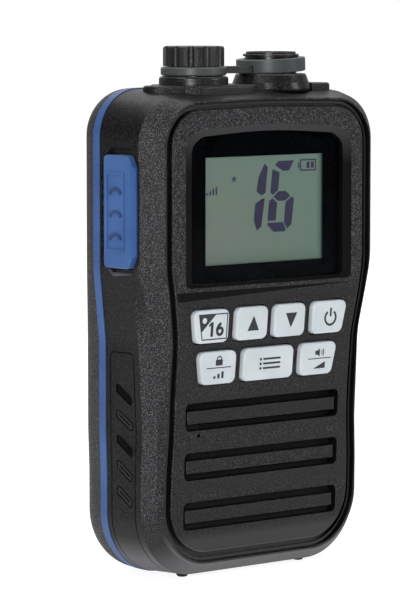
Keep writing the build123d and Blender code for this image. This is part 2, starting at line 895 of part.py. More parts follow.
def front_panel():
    """Raised panel inside the groove, its edge rounded."""
    sketch = panel_outline(rim_land + groove_width, groove_top_width - groove_width,
                           groove_low_width - groove_width)
    panel = slab(sketch, -1, far / 10) & (face_profile(groove_depth + groove_root) - face_profile(-1))
    panel -= face_profile(0)
    faces = [face for face in panel.faces() if face.normal_at().Y < -0.9]
    edges = [edge for face in faces for edge in face.edges()]
    border = [edge for edge in edges if sum(edge.is_same(other) for other in edges) == 1]
    return fillet(border, panel_round)


def front_housing():
    form = front_form()
    body = form + deck(pad_depth[0], front_depth)
    body -= front_space()
    for boss, _ in board_bosses():
        body += boss & form
    for x, z in screw_places():
        body += rod(x, z, screw_boss_radius, keypad_depth, front_depth) & form
    body -= face_profile(0)
    body -= slab(panel_outline(rim_land), -1, far / 10) & (face_profile(groove_depth) - face_profile(-1))
    body += front_panel()
    bead_outer = rim_land + bead_inset
    bead = panel_outline(bead_outer) - panel_outline(bead_outer + bead_width)
    low_slab = face_profile(groove_depth + groove_root) - face_profile(groove_depth - bead_height)
    body += slab(bead, -1, far / 10) & low_slab
    body -= loft([level(0) * lens_outline(dish_side, dish_top, dish_low),
                  level(lens_sunk) * lens_outline()], ruled=True)
    body -= slab(lens_outline(lens_fit, lens_fit, lens_fit), lens_sunk, ledge_depth)
    body -= slab(view_box(lcd_border + lcd_fit), 0, display_depth + 1)
    for key in keys.values():
        body -= slab(key_shape(*key, grow=key_fit), -1, keypad_depth + 1)
    for cut in slot_cuts():
        body -= cut
    for top in slot_tops():
        body += louvre(top)
    body -= rod(mic_x, mic_z, mic_hole_radius, 0, grille_depth + 1)
    body -= (form - front_form(strip_thickness)) & strip_zone(strip_fit)
    body -= talk_well()
    for _, hole in board_bosses():
        body -= hole
    for x, z in screw_places():
        body -= rod(x, z, screw_core_radius + screw_core_fit, front_depth - screw_grip - 0.5, front_depth + 1)
    for side in (-1, 1):
        body -= post(side * post_x, stem_hole_radius, crown_z - 2 * wall, deck_z + 1)
    body -= base_seat()
    save("front_housing", body)


def trim_band():
    band = ring_form(front_depth, band_end, -band_proud, wall) - base_seat()
    save("trim_band", band)
    save("housing_gasket", ring_form(front_depth, band_end, wall + gasket_fit, wall + gasket_width))


def rear_form(inset=0.0):
    """Outer form of the rear housing, drawn in by a wall."""
    return slab(section(4, inset)[1], band_end, shell_depth - inset)


def rear_housing():
    body = rear_form()
    body = fillet(body.faces().sort_by(Axis.Y)[-1].edges(), back_round)
    room = rear_form(wall)
    body -= fillet(room.faces().sort_by(Axis.Y)[-1].edges(), back_round - wall)
    body += deck(band_end, pad_depth[1]) - rear_form(wall)
    tub_z = (bay_z[0] - bay_wall, bay_z[1] + bay_wall)
    tub_x = bay_half_width + bay_wall
    body += block((-tub_x, tub_x), (bay_depth - bay_wall, shell_depth), tub_z)
    body -= block((-bay_half_width, bay_half_width), (bay_depth, shell_depth + 1), bay_z)
    for x in contact_places():
        body -= rod(x, contact_z, pin_contact_radius + screw_core_fit, bay_depth - 3, bay_depth + 1)
    for x, z in screw_places():
        body += rod(x, z, screw_boss_radius, front_depth, band_end)
        body += rod(x, z, screw_head_radius + 1, band_end, shell_depth - screw_sunk)
        body -= rod(x, z, screw_core_radius + screw_core_fit, front_depth - 1, shell_depth + 1)
        body -= rod(x, z, screw_head_radius + talk_fit, head_depth, shell_depth + 1)
    body += rod(0, lock_z, lock_insert_radius + 1.2, shell_depth - lock_insert_length - 1, shell_depth)
    body -= rod(0, lock_z, lock_insert_radius + screw_core_fit, shell_depth - lock_insert_length,
                shell_depth + 1)
    body -= base_seat()
    for side in (-1, 1):
        body -= post(side * foot_x, foot_radius, -1, foot_height + foot_root, foot_depths[1])
    save("rear_housing", body)


base_low_z = crown_z - base_sunk
base_top_z = base_low_z + base_height


def base_seat():
    """Ring cut out of the deck for the skirt of the antenna post."""
    outer = post(post_x, base_low_radius + band_gap, base_low_z - seat_gap, deck_z + 1)
    return outer - post(post_x, skirt_bore - seat_gap, base_low_z - 1, deck_z + 2)


# ---------------------------------------------------------------- screws and feet
def fasteners():
    screws = []
    for x, z in screw_places():
        head = rod(x, z, screw_head_radius, head_depth, head_depth + screw_head_height)
        head -= rod(x, z, screw_core_radius * 0.8, head_depth + screw_head_height / 2, shell_depth)
        screws.append(head + rod(x, z, screw_core_radius, front_depth - screw_grip, head_depth))
    save("housing_screws", Compound(children=screws))
    insert = rod(0, lock_z, lock_insert_radius, shell_depth - lock_insert_length, shell_depth)
    save("lock_insert", insert - rod(0, lock_z, lock_shank_radius + lock_bore_fit, 0, far / 2))


def feet():
    pads = []
    for side in (-1, 1):
        for depth in foot_depths:
            pad = post(side * foot_x, foot_radius, 0, foot_height + foot_root, depth)
            pads.append(fillet(pad.faces().sort_by(Axis.Z)[0].edges(), foot_round))
    save("feet", Compound(children=pads))


# ---------------------------------------------------------------- jack post, on the left
ring_low_z = deck_z + collar_height + seat_gap
shoulder_low_z = ring_low_z + ring_height + seat_gap
cap_top_z = shoulder_low_z + cap_height
neck_top_z = cap_top_z - cap_roof - cap_seal_height - 2 * seat_gap


def turned(points, x):
    """Solid of revolution about a post, from points of radius and height."""
    plane = Plane(origin=(x, front_y + post_depth, 0), x_dir=(1, 0, 0), z_dir=(0, -1, 0))
    axis = Axis((x, front_y + post_depth, 0), (0, 0, 1))
    return revolve(plane * make_face(Polyline(*points, close=True)), axis=axis)


def jack_post():
    x = -post_x
    collar = post(x, collar_radius, deck_z, deck_z + collar_height)
    collar = fillet(collar.edges().sort_by(Axis.Z)[-1], deck_round)
    collar -= post(x, jack_neck_radius + stem_fit, deck_z - 1, deck_z + collar_height + 1)
    save("jack_collar", collar)
    jack = post(x, jack_neck_radius, deck_z, neck_top_z)
    jack += post(x, stem_hole_radius - stem_fit, deck_z - jack_stem_length, deck_z)
    save("accessory_jack", jack - post(x, jack_bore_radius, neck_top_z - jack_bore_length, neck_top_z + 1))
    counterbore_z = ring_low_z + lip_height + seat_gap
    ring_top_z = ring_low_z + ring_height
    save("tether_cap_ring", turned([
        (lip_radius + lip_fit, ring_low_z),
        (ring_radius - ring_edge, ring_low_z),
        (ring_radius, ring_low_z + ring_edge),
        (ring_radius, ring_top_z - ring_edge),
        (ring_radius - ring_edge, ring_top_z),
        (cap_neck_radius + lip_fit, ring_top_z),
        (cap_neck_radius + lip_fit, counterbore_z),
        (lip_radius + lip_fit, counterbore_z),
    ], x))


def jack_cap():
    """Ribbed screw cap; its neck passes through the tether's ring and ends in a lip."""
    x = -post_x
    cap = post(x, cap_radius, shoulder_low_z, cap_top_z)
    cap = fillet(cap.edges().sort_by(Axis.Z)[-1], cap_round)
    for rib in range(cap_ribs):
        angle = 2 * pi * (rib + 0.5) / cap_ribs
        reach = cap_radius + cap_groove - cap_groove_depth
        groove = post(x, cap_groove, shoulder_low_z - 1, cap_top_z + 1)
        cap -= groove.moved(Location((reach * cos(angle), reach * sin(angle), 0)))
    cap += post(x, cap_radius - cap_groove_depth, shoulder_low_z, shoulder_low_z + cap_round)
    cap += post(x, cap_neck_radius, ring_low_z, shoulder_low_z)
    cap += post(x, lip_radius, ring_low_z, ring_low_z + lip_height)
    bore = post(x, jack_neck_radius + cap_bore_fit, ring_low_z - 1, cap_top_z - cap_roof)
    save("jack_cap", cap - bore)
    seal_z = cap_top_z - cap_roof - cap_seal_height
    save("cap_seal", post(x, jack_neck_radius, seal_z, cap_top_z - cap_roof))


# ---------------------------------------------------------------- antenna post, on the right
antenna_ring_z = base_top_z + ring_gap
neck_high_z = antenna_ring_z + antenna_ring_height + ring_gap
collar_rim_z = neck_high_z + rim_height
collar_top_z = collar_rim_z + lip_rim_height
socket_floor_z = deck_z + collar_height


def antenna_post():
    x = post_x
    middle = (base_low_radius + base_top_radius) / 2 + base_bulge
    save("antenna_collar", turned([
        (skirt_bore, base_low_z),
        (base_low_radius - base_foot, base_low_z),
        (base_low_radius - base_foot / 4, base_low_z + base_foot / 4),
        (base_low_radius, base_low_z + base_foot),
        (middle, (base_low_z + base_top_z) / 2),
        (base_top_radius, base_top_z - ring_edge),
        (base_top_radius - ring_edge, base_top_z),
        (socket_neck_radius, base_top_z),
        (socket_neck_radius, neck_high_z),
        (rim_radius, neck_high_z),
        (rim_radius, collar_rim_z - ring_edge / 2),
        (rim_radius - ring_edge / 2, collar_rim_z),
        (lip_rim_radius, collar_rim_z),
        (lip_rim_radius, collar_top_z - ring_edge / 2),
        (lip_rim_radius - ring_edge / 2, collar_top_z),
        (socket_recess_radius, collar_top_z),
        (socket_recess_radius, socket_floor_z),
        (socket_flange_radius + stem_fit, socket_floor_z),
        (socket_flange_radius + stem_fit, deck_z),
        (skirt_bore, deck_z),
    ], x))
    socket = post(x, socket_flange_radius, deck_z, socket_floor_z)
    socket += post(x, thread_radius, socket_floor_z, socket_floor_z + thread_length)
    socket_low_z = deck_z - socket_stem_length
    socket += post(x, stem_hole_radius - stem_fit, socket_low_z, deck_z)
    socket_top_z = socket_floor_z + thread_length
    bore = post(x, socket_bore_radius, socket_low_z - 1, socket_top_z + 1)
    save("antenna_socket", socket - bore)
    tube = post(x, socket_bore_radius, socket_low_z, socket_top_z - pin_recess)
    save("socket_insulator", tube - post(x, pin_radius, socket_low_z - 1, socket_top_z))
    save("socket_pin", post(x, pin_radius, socket_low_z - pin_recess, socket_top_z - pin_recess / 2))
    ring = post(x, antenna_ring_radius, antenna_ring_z, antenna_ring_z + antenna_ring_height)
    ring = fillet(ring.edges(), ring_edge)
    ring -= post(x, antenna_ring_bore, antenna_ring_z - 1, neck_high_z)
    centre = (x, front_y + post_depth, antenna_ring_z + antenna_ring_height / 2)
    ring = ring.rotate(Axis(centre, (0, 1, 0)), -antenna_ring_tilt)
    save("tether_antenna_ring", ring)


def tether_strap():
    """Rubber web between the two rings of the tether."""
    middle = ring_low_z + ring_height - strap_thickness / 2
    y = front_y + post_depth
    web = Pos(0, y, middle) * Box(2 * post_x, strap_width, strap_thickness)
    web -= post(-post_x, ring_radius + strap_gap, deck_z, cap_top_z)
    web -= post(post_x, antenna_ring_radius + strap_gap / 3, deck_z, cap_top_z)
    save("tether_strap", web)


# ---------------------------------------------------------------- battery pack
def contact_places():
    return [contact_pitch * (number - (contact_count - 1) / 2) for number in range(contact_count)]


plug_x = bay_half_width - pack_fit
plug_z = (bay_z[0] + pack_fit, bay_z[1] - pack_fit)
lid_start = bay_depth + pack_fit
lid_end = lid_start + pack_wall
cell_start = lid_end + cell_fit
cell_thickness = pack_depth - pack_back_wall - cell_fit - cell_start
flange_depth = shell_depth + pack_fit
lock_length = pack_depth - lock_head - shell_depth + lock_insert_length - lock_end_gap
head_depth = shell_depth - screw_sunk - 2 * screw_head_height


def seal_ring(grow):
    low = plate(bay_half_width + bay_wall / 2 + pack_seal_width / 2 + grow,
                (bay_z[0] - bay_wall / 2 - pack_seal_width / 2 - grow,
                 bay_z[1] + bay_wall / 2 + pack_seal_width / 2 + grow), 1.5)
    high = plate(bay_half_width + bay_wall / 2 - pack_seal_width / 2 - grow,
                 (bay_z[0] - bay_wall / 2 + pack_seal_width / 2 + grow,
                  bay_z[1] + bay_wall / 2 - pack_seal_width / 2 - grow), 1.0)
    return low - high


def battery_pack():
    case = slab(plate(flange_half_width, flange_z, flange_corner), flange_depth, pack_depth)
    case = fillet(case.faces().sort_by(Axis.Y)[-1].edges(), min(flange_round, pack_proud / 2))
    case += block((-plug_x, plug_x), (lid_end, flange_depth), plug_z)
    room_x = cell_half_width + cell_fit
    case -= block((-room_x, room_x), (lid_end, cell_start + cell_thickness + cell_fit),
                  (cell_z[0] - cell_fit, cell_z[1] + cell_fit))
    seal_start = shell_depth + seat_gap
    groove_end = seal_start + pack_seal_thickness + band_proud
    case -= slab(seal_ring(stem_fit), flange_depth - 0.01, groove_end)
    case -= rod(0, lock_z, lock_shank_radius + lock_shank_fit, flange_depth - 1, pack_depth + 1)
    case -= rod(0, lock_z, lock_radius + lock_shank_fit, pack_depth - lock_head - lock_shank_fit, pack_depth + 1)
    for row in range(grip_count):
        groove = Pos(0, grip_low_z + row * grip_pitch) * SlotOverall(2 * grip_half_width, grip_width)
        case -= slab(groove, pack_depth - grip_depth, pack_depth + 1)
    case -= slab(plate(field_half_width, field_z, field_corner), pack_depth - field_sunk, pack_depth + 1)
    for side in (-1, 1):
        case -= rod(side * clip_x, clip_z, clip_insert_radius, pack_depth - clip_insert_length, pack_depth + 1)
        case -= rod(side * charge_x, charge_z, charge_radius, pack_depth - charge_thickness, pack_depth + 1)
    save("battery_case", case)
    lid = block((-plug_x, plug_x), (lid_start, lid_end), plug_z)
    pads = []
    for x in contact_places():
        pad = rod(x, contact_z, contact_radius, lid_start, lid_start + contact_thickness)
        lid -= pad
        pads.append(pad)
    save("battery_lid", lid)
    save("battery_contacts", Compound(children=pads))
    save("battery_cell", block((-cell_half_width, cell_half_width),
                               (cell_start, cell_start + cell_thickness), cell_z))
    save("battery_seal", slab(seal_ring(0), seal_start, seal_start + pack_seal_thickness))
    inserts = []
    plates = []
    for side in (-1, 1):
        insert = rod(side * clip_x, clip_z, clip_insert_radius, pack_depth - clip_insert_length, pack_depth)
        inserts.append(insert - rod(side * clip_x, clip_z, clip_thread_radius, 0, far))
        plates.append(rod(side * charge_x, charge_z, charge_radius, pack_depth - charge_thickness, pack_depth))
    save("clip_inserts", Compound(children=inserts))
    save("charge_contacts", Compound(children=plates))
    pins = [rod(x, contact_z, pin_contact_radius, bay_depth - 2.5, bay_depth + pack_fit / 2)
            for x in contact_places()]
    save("bay_contacts", Compound(children=pins))


def battery_screw():
    head = rod(0, lock_z, lock_radius, pack_depth - lock_head, pack_depth)
    head -= block((-lock_radius, lock_radius), (pack_depth - lock_head / 2, pack_depth + 1),
                  (lock_z - lock_slot / 2, lock_z + lock_slot / 2))
    shank = rod(0, lock_z, lock_shank_radius, pack_depth - lock_head - lock_length, pack_depth - lock_head)
    save("battery_screw", head + shank)


os.makedirs("parts", exist_ok=True)
front_housing()
trim_band()
rear_housing()
display_pieces()
keypad()
speaker()
microphone()
board()
talk_button()
talk_inner()
side_strip()
fasteners()
feet()
jack_post()
jack_cap()
antenna_post()
tether_strap()
battery_pack()
battery_screw()
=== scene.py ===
import json
from math import cos, hypot, pi, radians, sin

import bpy
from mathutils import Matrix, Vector
from mathutils.bvhtree import BVHTree

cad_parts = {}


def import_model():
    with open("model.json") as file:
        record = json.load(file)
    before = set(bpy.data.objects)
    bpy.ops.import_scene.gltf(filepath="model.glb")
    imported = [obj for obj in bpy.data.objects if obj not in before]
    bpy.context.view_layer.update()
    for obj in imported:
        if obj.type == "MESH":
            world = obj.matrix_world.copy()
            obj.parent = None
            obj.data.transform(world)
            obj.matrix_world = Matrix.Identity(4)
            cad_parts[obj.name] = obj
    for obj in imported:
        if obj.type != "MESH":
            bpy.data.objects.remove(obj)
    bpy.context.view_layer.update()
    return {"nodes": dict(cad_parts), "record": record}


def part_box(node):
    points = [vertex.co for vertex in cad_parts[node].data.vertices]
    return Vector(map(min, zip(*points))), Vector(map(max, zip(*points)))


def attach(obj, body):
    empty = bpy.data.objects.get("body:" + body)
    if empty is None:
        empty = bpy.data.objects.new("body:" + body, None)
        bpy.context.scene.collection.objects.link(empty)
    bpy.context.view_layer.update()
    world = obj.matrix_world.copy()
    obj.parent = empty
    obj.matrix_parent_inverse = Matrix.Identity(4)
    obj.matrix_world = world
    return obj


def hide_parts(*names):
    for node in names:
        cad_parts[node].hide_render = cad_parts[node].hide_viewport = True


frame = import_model()
nodes = frame["nodes"]
scene = bpy.context.scene

mm = 0.001

# The face round the display is upright above the crease and leans back in two steps below it.
face_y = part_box("front_housing")[0].y
crease_z = 61.2 * mm
grille_top_z = 39.2 * mm
grille_top_fall = 2.1 * mm
chin_z = 10.2 * mm
chin_fall = 3.1 * mm
key_rise = 1.1 * mm             # from the leaning face to the front of the keys
ink_thickness = 0.03 * mm


def fall(z):
    """Depth of the leaning face at a height."""
    if z > crease_z:
        return 0.0
    if z > grille_top_z:
        return grille_top_fall * (crease_z - z) / (crease_z - grille_top_z)
    return grille_top_fall + (chin_fall - grille_top_fall) * (grille_top_z - z) / (grille_top_z - chin_z)


# ---------------------------------------------------------------- node trees
class Tree:
    """Short names for building one material."""

    def __init__(self, name):
        self.material = bpy.data.materials.new(name)
        self.material.use_nodes = True
        self.nodes = self.material.node_tree.nodes
        self.links = self.material.node_tree.links
        self.shader = self.nodes["Principled BSDF"]
        self.place = self.add("ShaderNodeTexCoord").outputs["Object"]

    def add(self, kind, **values):
        node = self.nodes.new(kind)
        for key, value in values.items():
            setattr(node, key, value)
        return node

    def put(self, socket, value):
        """Links an output to a socket, or sets a plain value on it."""
        if isinstance(value, bpy.types.NodeSocket):
            self.links.new(value, socket)
        else:
            socket.default_value = value

    def noise(self, size, detail=2.0, roughness=0.5, stretch=(1, 1, 1)):
        """Noise whose grains are about this size; stretch above 1 packs them closer along an axis."""
        mapping = self.add("ShaderNodeMapping")
        mapping.inputs["Scale"].default_value = stretch
        self.links.new(self.place, mapping.inputs["Vector"])
        node = self.add("ShaderNodeTexNoise")
        self.links.new(mapping.outputs[0], node.inputs["Vector"])
        node.inputs["Scale"].default_value = 1 / size
        node.inputs["Detail"].default_value = detail
        node.inputs["Roughness"].default_value = roughness
        return node.outputs["Fac"]

    def cells(self, size):
        """Rounded cells, as of grains that lie side by side."""
        node = self.add("ShaderNodeTexVoronoi", feature="SMOOTH_F1")
        self.links.new(self.place, node.inputs["Vector"])
        node.inputs["Scale"].default_value = 1 / size
        node.inputs["Smoothness"].default_value = 0.6
        return node.outputs["Distance"]

    def spread(self, value, low, high, start=0.0, end=1.0):
        """Maps low..high to start..end, clamped."""
        node = self.add("ShaderNodeMapRange")
        self.put(node.inputs["Value"], value)
        node.inputs["From Min"].default_value = low
        node.inputs["From Max"].default_value = high
        node.inputs["To Min"].default_value = start
        node.inputs["To Max"].default_value = end
        return node.outputs[0]

    def math(self, operation, first, second=0.0):
        node = self.add("ShaderNodeMath", operation=operation)
        self.put(node.inputs[0], first)
        self.put(node.inputs[1], second)
        return node.outputs[0]

    def mix(self, amount, first, second):
        node = self.add("ShaderNodeMix", data_type="RGBA")
        self.put(node.inputs[0], amount)
        self.put(node.inputs[6], first)
        self.put(node.inputs[7], second)
        return node.outputs[2]

    def axis(self, name, source="Object"):
        """One coordinate of the point, or of its normal."""
        node = self.add("ShaderNodeSeparateXYZ")
        self.links.new(self.add("ShaderNodeTexCoord").outputs[source], node.inputs[0])
        return node.outputs[name]

    def bump(self, height, depth, strength=1.0, normal=None):
        node = self.add("ShaderNodeBump")
        node.inputs["Strength"].default_value = strength
        node.inputs["Distance"].default_value = depth
        self.put(node.inputs["Height"], height)
        if normal is not None:
            self.links.new(normal, node.inputs["Normal"])
        return node.outputs[0]

    def finish(self, **values):
        """Sets the shader's sockets; underscores stand for the spaces in their names."""
        for key, value in values.items():
            self.put(self.shader.inputs[key.replace("_", " ")], value)
        return self.material


def rgb(red, green, blue):
    """Screen colour, 0 to 255, as the linear colour that a shader takes."""
    def linear(value):
        value /= 255
        return value / 12.92 if value <= 0.04045 else ((value + 0.055) / 1.055) ** 2.4
    return (linear(red), linear(green), linear(blue), 1.0)


# ---------------------------------------------------------------- materials
grain_tops = 0.50, 0.68         # the part of a noise that counts as the tops of its grains


def spark_plastic(name, dark, light, grain, depth, rough):
    """Moulded plastic with a spark-eroded skin: fine rounded grains whose paler tops are painted glints."""
    tree = Tree(name)
    fine = tree.noise(grain, 2.0, 0.7)
    cells = tree.cells(grain * 1.5)
    height = tree.math("ADD", fine, tree.math("MULTIPLY", cells, 0.45))
    tops = tree.spread(fine, *grain_tops)
    drift = tree.noise(18 * mm, 2.0)
    # The paler grain tops are painted glints, and a broad noise varies how pale they are.
    painted_glints = tree.math("MULTIPLY", tops, tree.spread(drift, 0.3, 0.7, 0.75, 1.0))
    return tree.finish(
        Base_Color=tree.mix(painted_glints, dark, light),
        Roughness=tree.spread(fine, 0.3, 0.7, rough[1], rough[0]),
        Normal=tree.bump(height, depth),
    )


# Where the front shell's finish changes: heights, half widths, and how far a facet's normal faces the front.
# Heights over which the painted shade of the lower panel sets in.
lower_panel_shade_z = 66 * mm, 60 * mm
panel_texture_z = 8.6 * mm, 10.6 * mm
flank_texture_z = 4 * mm, 14 * mm
crown_z = 94 * mm, 102 * mm
corner_x = 21 * mm, 29 * mm
panel_facing = 0.86, 0.96
flank_facing = 0.25, 0.6


def shell_plastic():
    """Front shell: coarse spark texture whose paler grain tops are painted glints, finer on the flanks;
    round the keys the grain is finer and its glints fade as painted shade; smooth low down, in a grey that
    is a painted reflection of the floor, paler where it faces down.
    """
    tree = Tree("black_shell")
    up = tree.axis("Z")
    facing = tree.math("ABSOLUTE", tree.axis("Y", "Normal"))
    panel = tree.spread(facing, *panel_facing)
    off_panel = tree.math("SUBTRACT", 1.0, panel)
    coarse = tree.spread(facing, *flank_facing, 0.3, 1.0)
    # Below the crease, the panel's painted glints fade: painted shade round the keys.
    lower_panel_shade = tree.math("MULTIPLY", panel, tree.spread(up, *lower_panel_shade_z, 0.0, 0.55))
    coarse = tree.math("MULTIPLY", coarse, tree.math("SUBTRACT", 1.0, lower_panel_shade))
    textured = tree.math("ADD", tree.math("MULTIPLY", panel, tree.spread(up, *panel_texture_z)),
                         tree.math("MULTIPLY", off_panel, tree.spread(up, *flank_texture_z)))
    strength = tree.math("MULTIPLY", coarse, textured)
    fine = tree.noise(0.24 * mm, 1.5, 0.6)
    tops = tree.math("MULTIPLY", tree.spread(fine, *grain_tops), strength)
    # Smooth low faces are a painted reflection of the white floor: grey, and paler where they face down.
    under = tree.spread(tree.axis("Z", "Normal"), -0.35, -0.7)
    smooth = tree.mix(under, rgb(58, 58, 59), rgb(116, 114, 117))
    spark = tree.mix(tops, rgb(5, 5, 6), rgb(98, 95, 101))
    corner = tree.spread(tree.math("ABSOLUTE", tree.axis("X")), *corner_x)
    crown = tree.spread(up, *crown_z)
    roll = tree.math("MULTIPLY", tree.math("MULTIPLY", corner, crown), panel)
    grain = tree.bump(tree.math("MULTIPLY", fine, strength), 0.14 * mm)
    return tree.finish(
        Base_Color=tree.mix(textured, smooth, spark),
        Roughness=tree.spread(fine, 0.3, 0.7, 0.46, 0.32),
        Specular_IOR_Level=0.32,
        Normal=tree.bump(tree.math("MULTIPLY", roll, -1.0), 1.6 * mm, 1.0, grain),
    )


def satin_plastic(name, colour, pale, rough, grain, depth):
    """Smooth moulded plastic with faint flow marks and fine haze."""
    tree = Tree(name)
    haze = tree.noise(6 * mm, 3.0)
    skin = tree.noise(grain, 2.0)
    return tree.finish(
        Base_Color=tree.mix(tree.spread(haze, 0.3, 0.7), colour, pale),
        Roughness=tree.spread(skin, 0.3, 0.7, rough - 0.05, rough + 0.05),
        Normal=tree.bump(skin, depth),
    )


def blue_rubber(name, deep, pale):
    """Soft-touch blue rubber, paler where it is handled."""
    tree = Tree(name)
    drift = tree.noise(9 * mm, 3.0)
    skin = tree.noise(0.25 * mm, 2.0)
    return tree.finish(
        Base_Color=tree.mix(tree.spread(drift, 0.35, 0.68), deep, pale),
        Roughness=tree.spread(skin, 0.3, 0.7, 0.40, 0.52),
        Normal=tree.bump(skin, 0.008 * mm),
        Sheen_Weight=0.12,
    )


def key_plastic():
    """Off-white key caps."""
    tree = Tree("key_white")
    drift = tree.noise(7 * mm, 2.0)
    skin = tree.noise(0.3 * mm, 2.0)
    return tree.finish(
        Base_Color=tree.mix(tree.spread(drift, 0.3, 0.7), rgb(207, 217, 221), rgb(220, 228, 233)),
        Roughness=tree.spread(skin, 0.3, 0.7, 0.34, 0.42),
        Normal=tree.bump(skin, 0.004 * mm),
    )


def legend_ink():
    """Print on the keys, worn a little."""
    tree = Tree("legend_ink")
    wear = tree.noise(0.5 * mm, 3.0)
    return tree.finish(
        Base_Color=tree.mix(tree.spread(wear, 0.35, 0.75), rgb(30, 34, 41), rgb(46, 51, 59)),
        Roughness=tree.spread(wear, 0.3, 0.7, 0.42, 0.55),
        Normal=tree.bump(wear, 0.002 * mm),
    )


def gloss_black():
    """Black print behind the window."""
    tree = Tree("black_print")
    haze = tree.noise(12 * mm, 2.0)
    return tree.finish(
        Base_Color=tree.mix(tree.spread(haze, 0.3, 0.7), rgb(2, 4, 5), rgb(4, 7, 9)),
        Roughness=tree.spread(haze, 0.3, 0.7, 0.10, 0.16),
        Specular_IOR_Level=0.04,
    )


def window_glass():
    """Clear window: mostly open, with a faint gloss."""
    tree = Tree("lens_window")
    haze = tree.noise(10 * mm, 2.0)
    return tree.finish(
        Base_Color=(0.0, 0.0, 0.0, 1.0),
        Roughness=tree.spread(haze, 0.3, 0.7, 0.05, 0.08),
        Specular_IOR_Level=0.3,
        Alpha=0.05,
    )


def lcd_glass():
    """Reflective display: grey-green, greener to the right, shaded by its frame at the right and below."""
    low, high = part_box("lcd_panel")
    tree = Tree("lcd_glass")
    across = tree.spread(tree.axis("X"), low.x, high.x)
    up = tree.spread(tree.axis("Z"), low.z, high.z)
    ground = tree.mix(across, rgb(120, 130, 122), rgb(106, 134, 120))
    ground = tree.mix(tree.spread(up, 0.45, 0.95, 0.0, 0.8), ground, rgb(108, 136, 126))
    cloud = tree.noise(9 * mm, 2.0)
    ground = tree.mix(tree.spread(cloud, 0.4, 0.7, 0.0, 0.35), ground, rgb(116, 138, 118))
    right = tree.spread(across, 0.90, 0.965)
    below = tree.spread(up, 0.20, 0.06, 0.0, 0.35)
    shade = tree.math("MAXIMUM", right, below)
    dots = tree.noise(0.12 * mm, 1.0)
    return tree.finish(
        Base_Color=tree.mix(shade, ground, rgb(60, 84, 76)),
        Roughness=tree.spread(dots, 0.3, 0.7, 0.45, 0.55),
        Normal=tree.bump(dots, 0.002 * mm),
    )


def lcd_ink():
    """Violet segments of the display."""
    tree = Tree("lcd_ink")
    drift = tree.noise(4 * mm, 2.0)
    return tree.finish(
        Base_Color=tree.mix(tree.spread(drift, 0.3, 0.7), rgb(34, 32, 66), rgb(42, 36, 78)),
        Roughness=tree.spread(drift, 0.3, 0.7, 0.4, 0.5),
    )


def metal(name, colour, rough):
    """Turned or rolled metal with fine lines."""
    tree = Tree(name)
    lines = tree.noise(0.3 * mm, 3.0, 0.6, (1, 1, 6))
    patina = tree.noise(4 * mm, 2.0)
    dull = tuple(channel * 0.72 for channel in colour[:3]) + (1.0,)
    return tree.finish(
        Base_Color=tree.mix(tree.spread(patina, 0.35, 0.75), colour, dull),
        Metallic=1.0,
        Roughness=tree.spread(lines, 0.3, 0.7, rough - 0.08, rough + 0.08),
        Normal=tree.bump(lines, 0.004 * mm),
    )


def board_laminate():
    """Green solder mask with faint darker traces."""
    tree = Tree("board_green")
    traces = tree.noise(1.6 * mm, 0.0, 0.5, (1, 1, 0.25))
    return tree.finish(
        Base_Color=tree.mix(tree.spread(traces, 0.48, 0.52), rgb(20, 88, 56), rgb(30, 110, 70)),
        Roughness=tree.spread(traces, 0.45, 0.55, 0.32, 0.42),
        Normal=tree.bump(traces, 0.02 * mm),
    )


def mesh_cloth():
    """Woven waterproof membrane behind the speaker's slots."""
    tree = Tree("speaker_cloth")
    weave = tree.noise(0.25 * mm, 1.0)
    return tree.finish(
        Base_Color=tree.mix(tree.spread(weave, 0.4, 0.6), rgb(4, 4, 5), rgb(16, 16, 18)),
        Roughness=tree.spread(weave, 0.3, 0.7, 0.8, 0.95),
        Normal=tree.bump(weave, 0.05 * mm),
    )


def border_plastic():
    """Smooth border of the window: grey along its arched top as a painted highlight, darker down its sides
    as painted shade.
    """
    tree = Tree("window_border")
    haze = tree.noise(5 * mm, 2.0)
    # Painted highlight along the top, painted shade below it.
    up = tree.spread(tree.axis("Z"), 88 * mm, 96 * mm)
    return tree.finish(
        Base_Color=tree.mix(up, rgb(8, 8, 9), rgb(62, 61, 63)),
        Roughness=tree.spread(haze, 0.3, 0.7, 0.55, 0.62),
        Specular_IOR_Level=0.12,
        Normal=tree.bump(haze, 0.004 * mm),
    )


def gap_plastic():
    """Floors of the marks and the joint round the side strip, which no light reaches."""
    tree = Tree("gap_black")
    haze = tree.noise(2 * mm, 2.0)
    return tree.finish(
        Base_Color=tree.mix(tree.spread(haze, 0.3, 0.7), rgb(7, 7, 8), rgb(14, 14, 15)),
        Roughness=tree.spread(haze, 0.3, 0.7, 0.55, 0.65),
        Specular_IOR_Level=0.08,
        Normal=tree.bump(haze, 0.004 * mm),
    )


materials = {
    "black_shell": shell_plastic(),
    "lens_window": window_glass(),
    "black_print": gloss_black(),
    "lcd_glass": lcd_glass(),
    "key_white": key_plastic(),
    "speaker_cloth": mesh_cloth(),
    "board_green": board_laminate(),
    "window_border": border_plastic(),
    "gap_black": gap_plastic(),
}

# Dark colour, pale colour of the painted glints on the grain tops, grain and depth in millimetres, least and
# most roughness.
spark_finishes = {
    "rear_shell": ((34, 34, 35), (114, 113, 116), 0.22, 0.06, (0.42, 0.62)),
    "pack_black": ((32, 32, 33), (70, 70, 72), 0.32, 0.05, (0.42, 0.62)),
    "foot_rubber": ((24, 24, 25), (48, 48, 49), 0.25, 0.03, (0.42, 0.62)),
    "post_black": ((20, 20, 21), (76, 75, 78), 0.24, 0.02, (0.20, 0.30)),
    "cap_rubber": ((16, 17, 17), (56, 58, 58), 0.26, 0.06, (0.30, 0.42)),
}
for name, (dark, light, grain, depth, rough) in spark_finishes.items():
    materials[name] = spark_plastic(name, rgb(*dark), rgb(*light), grain * mm, depth * mm, rough)

